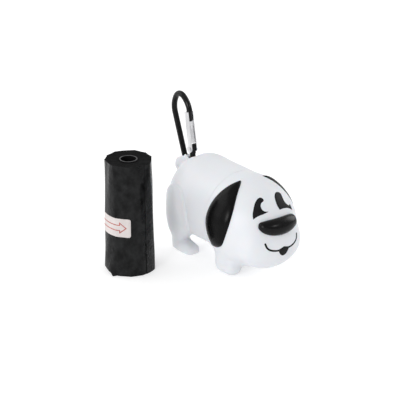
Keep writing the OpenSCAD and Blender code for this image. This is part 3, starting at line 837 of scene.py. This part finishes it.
def film_r(turn, z):
    """Radius of the wound film at a bearing and height."""
    base = ROLL_LOW + (ROLL_HIGH - ROLL_LOW) * z / ROLL_H
    side = 2 * np.pi / FLATS
    off = (turn + FLAT_TURN + FLAT_TWIST * z + FLAT_UNEVEN * np.sin(3 * turn)) % side - side / 2
    facet = base * (1 / np.cos(off) - 1) - FLAT_DEPTH
    top = np.clip((z - CRISP_FROM * ROLL_H) / (CRISP_OVER * ROLL_H), 0, 1) ** 2
    # a free corner of film, drawn out at the foot and falling back past its edge
    past = past_corner(turn)
    reach = np.where(past < 0, np.clip(1 + past / CORNER_BEFORE, 0, 1) ** CORNER_POWER,
                     np.clip(1 - past / CORNER_AFTER, 0, 1))
    corner = CORNER_OUT * reach * np.clip(1 - z / CORNER_HEIGHT, 0, 1) ** CORNER_FADE
    facet = facet * (FLAT_SOFT + FLAT_CRISP * top)
    return base - ROLL_INSET + facet + RIPPLE * wave(turn, z) + corner


def foot_lift(turn):
    """How far the film's foot stands off the floor before its free corner."""
    return np.interp(past_corner(turn), LIFT_AT, LIFT)


def around(turn, r, z):
    """Points at bearings, radii and heights about the roll's axis."""
    return np.stack([ROLL_X + r * np.cos(turn), ROLL_Y + r * np.sin(turn), z + 0 * turn], -1)


def roll_point(turn, z, h=0.0):
    """Points on the film, or h above it."""
    return around(turn, film_r(turn, z) + h, z)


def build_film():
    turn = np.linspace(0, 2 * np.pi, FILM_COLS, endpoint=False)
    wall, top, foot = [], [], []
    for z in np.linspace(0, ROLL_H, FILM_ROWS):
        ring = roll_point(turn, np.full(FILM_COLS, z))
        ring[:, 2] += foot_lift(turn) * max(0, 1 - z / LIFT_HEIGHT)
        wall.append(ring)
    # wound ends: rings of film that step up and down a little toward the core
    edge = film_r(turn, np.full(FILM_COLS, ROLL_H))
    for k in range(1, END_RINGS + 1):
        f = k / END_RINGS
        r = edge * (1 - f) + CORE_R * f
        lift = RING_RISE * np.sin(RING_WAVES * f * 2 * np.pi + turn) * (1 - f) * f - END_DISH * f
        top.append(around(turn, r, ROLL_H - TOP_INSET + lift))
        foot.append(around(turn, r, -lift + FOOT_INSET + foot_lift(turn) * (1 - f) ** 2))
    profile = foot[::-1] + wall + top
    n, faces = len(profile), []
    for i in range(n):
        a, b = i * FILM_COLS, (i + 1) % n * FILM_COLS
        for j in range(FILM_COLS):
            k = (j + 1) % FILM_COLS
            faces.append((a + j, a + k, b + k, b + j))
    make_piece("film_roll", (np.concatenate(profile), faces), FILM, "spare_roll", "bag_roll",
               FILM_CREASE)


def build_flap():
    """The loose outer turn of the film, with its free edge."""
    turn = np.linspace(FLAP_FROM, FLAP_TO, FLAP_COLS)
    left = (FLAP_TO - turn) / (FLAP_TO - FLAP_FROM)
    rise = FLAP_RISE * np.clip(left * FLAP_TAPER, FLAP_THIN, 1)
    top, low = [], []
    for z in np.linspace(0, ROLL_H - FLAP_SHORT, FLAP_ROWS):
        top.append(roll_point(turn, np.full(FLAP_COLS, z), rise))
        low.append(roll_point(turn, np.full(FLAP_COLS, z), -FLAP_SUNK))
    rows, cols = FLAP_ROWS, FLAP_COLS
    faces, size = [], rows * cols
    for i in range(rows - 1):
        for j in range(cols - 1):
            a, d = i * cols + j, (i + 1) * cols + j
            faces += [(a, a + 1, d + 1, d), (d + size, d + 1 + size, a + 1 + size, a + size)]
    for j in range(cols - 1):
        faces.append((j + 1, j, j + size, j + 1 + size))
        k = (rows - 1) * cols + j
        faces.append((k, k + 1, k + 1 + size, k + size))
    for i in range(rows - 1):
        a, b = i * cols, (i + 1) * cols
        faces.append((a, b, b + size, a + size))
        a, b = a + cols - 1, b + cols - 1
        faces.append((b, a, a + size, b + size))
    make_piece("film_flap", (np.concatenate(top + low), faces), FILM, "spare_roll", "roll_flap",
               FILM_CREASE)


# ---------------------------------------------------------------- label

LABEL_FROM, LABEL_TO = math.radians(118), math.radians(237)
LABEL_Z, LABEL_H = 27.6, 10.4
LABEL_R = 13.1
LABEL_CORNER, CORNER_POINTS = 1.2, 7
PAPER_STEP, ARROW_STEP, LABEL_GRID = 0.7, 0.6, 0.8
PAPER_RISE, PAPER_EDGE_RISE, PAPER_SUNK = 0.14, 0.1, 0.05
PAPER_RINGS = (0.1,)
ARROW_RISE, ARROW_FOOT = 0.19, 0.1      # heights of the ink's top and underside above the film
# the arrow's outline and the edge of its hollow middle, as on_roll takes them
ARROW_OUTER = [
    (-2.2, 0), (-6.4, 3.3), (-6.4, 1.7), (-24, 1.7), (-24, -1.7), (-6.4, -1.7), (-6.4, -3.3),
]
ARROW_INNER = [
    (-3.0, 0), (-5.9, 2.3), (-5.9, 1.25), (-23.5, 1.25), (-23.5, -1.25), (-5.9, -1.25),
    (-5.9, -2.3),
]


def on_roll(uv, h):
    """Plane points as arc from the label's right edge and height off its middle, on the roll."""
    return roll_point(LABEL_TO + uv[:, 0] / LABEL_R, LABEL_Z + uv[:, 1], h)


def paper_height(d):
    return np.where(d > EDGE, PAPER_RISE, PAPER_EDGE_RISE)


def ink_height(d):
    return np.full(len(d), ARROW_RISE)


def build_label():
    long = (LABEL_TO - LABEL_FROM) * LABEL_R
    half, r = LABEL_H / 2, LABEL_CORNER
    outline = []
    for cx, cy, a0 in (
        (-r, half - r, 0), (-long + r, half - r, 90),
        (-long + r, r - half, 180), (-r, r - half, 270),
    ):
        for a in np.linspace(0, 90, CORNER_POINTS):
            t = math.radians(a0 + a)
            outline.append((cx + r * math.cos(t), cy + r * math.sin(t)))
    outline = divided(np.array(outline), PAPER_STEP)
    paper = relief([outline], on_roll, paper_height, LABEL_GRID, PAPER_RINGS, PAPER_SUNK)
    make_piece("paper_label", paper, LABEL, "spare_roll", "roll_label", TRIM_CREASE)
    loops = [divided(np.array(path, float), ARROW_STEP) for path in (ARROW_OUTER, ARROW_INNER)]
    arrow = relief(loops, on_roll, ink_height, LABEL_GRID, (), -ARROW_FOOT)
    make_piece("arrow_ink", arrow, INK, "spare_roll", "label_arrow", TRIM_CREASE)


# ---------------------------------------------------------------- studio

FLOOR_HALF, FLOOR_Z = 6.0, -0.0002
TENT_FRONT, TENT_BACK = 0.46, 0.94      # strength of the white tent before and behind the puppy
LIGHT_AIM = Vector((-0.01, 0, 0.03))
LIGHTS = (  # name, place, side, watts
    ("left", (-1.0, -0.38, 0.46), 0.36, 4.6),
    ("right", (1.0, -0.1, 0.5), 0.6, 3.8),
    ("rear", (-0.75, 0.9, 0.8), 1.3, 6.6),
    ("front", (0.3, -0.97, 0.65), 0.12, 1.2),
)


def build_floor():
    mesh = bpy.data.meshes.new("floor")
    s = FLOOR_HALF
    mesh.from_pydata([(-s, -s, 0), (s, -s, 0), (s, s, 0), (-s, s, 0)], [], [(0, 1, 2, 3)])
    floor = bpy.data.objects.new("floor", mesh)
    bpy.context.scene.collection.objects.link(floor)
    floor.location.z = FLOOR_Z
    mesh.materials.append(material(
        "floor_paper", (0.6, 0.6, 0.6), (0.61, 0.61, 0.61), rough=0.9, spread=0.02,
        tint_scale=3, grain=300, grain_depth=0.00001, Emission_Strength=0.48,
    ))


def build_lights():
    world = bpy.data.worlds.new("studio")
    world.use_nodes = True
    # a white tent, lit a little less in front of the puppy than behind it
    tree = world.node_tree
    place = add_node(tree, "TexCoord")
    split = add_node(tree, "SeparateXYZ")
    tree.links.new(place.outputs["Generated"], split.inputs["Vector"])
    fall = add_node(tree, "MapRange", From_Min=-1, From_Max=1, To_Min=TENT_FRONT, To_Max=TENT_BACK)
    tree.links.new(split.outputs["Y"], fall.inputs["Value"])
    background = tree.nodes["Background"]
    background.inputs["Color"].default_value = (1, 1, 1, 1)
    tree.links.new(fall.outputs["Result"], background.inputs["Strength"])
    bpy.context.scene.world = world
    for name, place, side, power in LIGHTS:
        data = bpy.data.lights.new(name, "AREA")
        data.shape = "RECTANGLE"
        data.size = side
        data.size_y = side
        data.energy = power
        lamp = bpy.data.objects.new(name, data)
        bpy.context.scene.collection.objects.link(lamp)
        lamp.location = place
        aim = LIGHT_AIM - Vector(place)
        lamp.rotation_euler = aim.to_track_quat("-Z", "Y").to_euler()


make_camera()
build_floor()
build_lights()
build_shells()
build_face()
build_hook()
build_film()
dress("roll_core", CORE)
build_flap()
build_label()
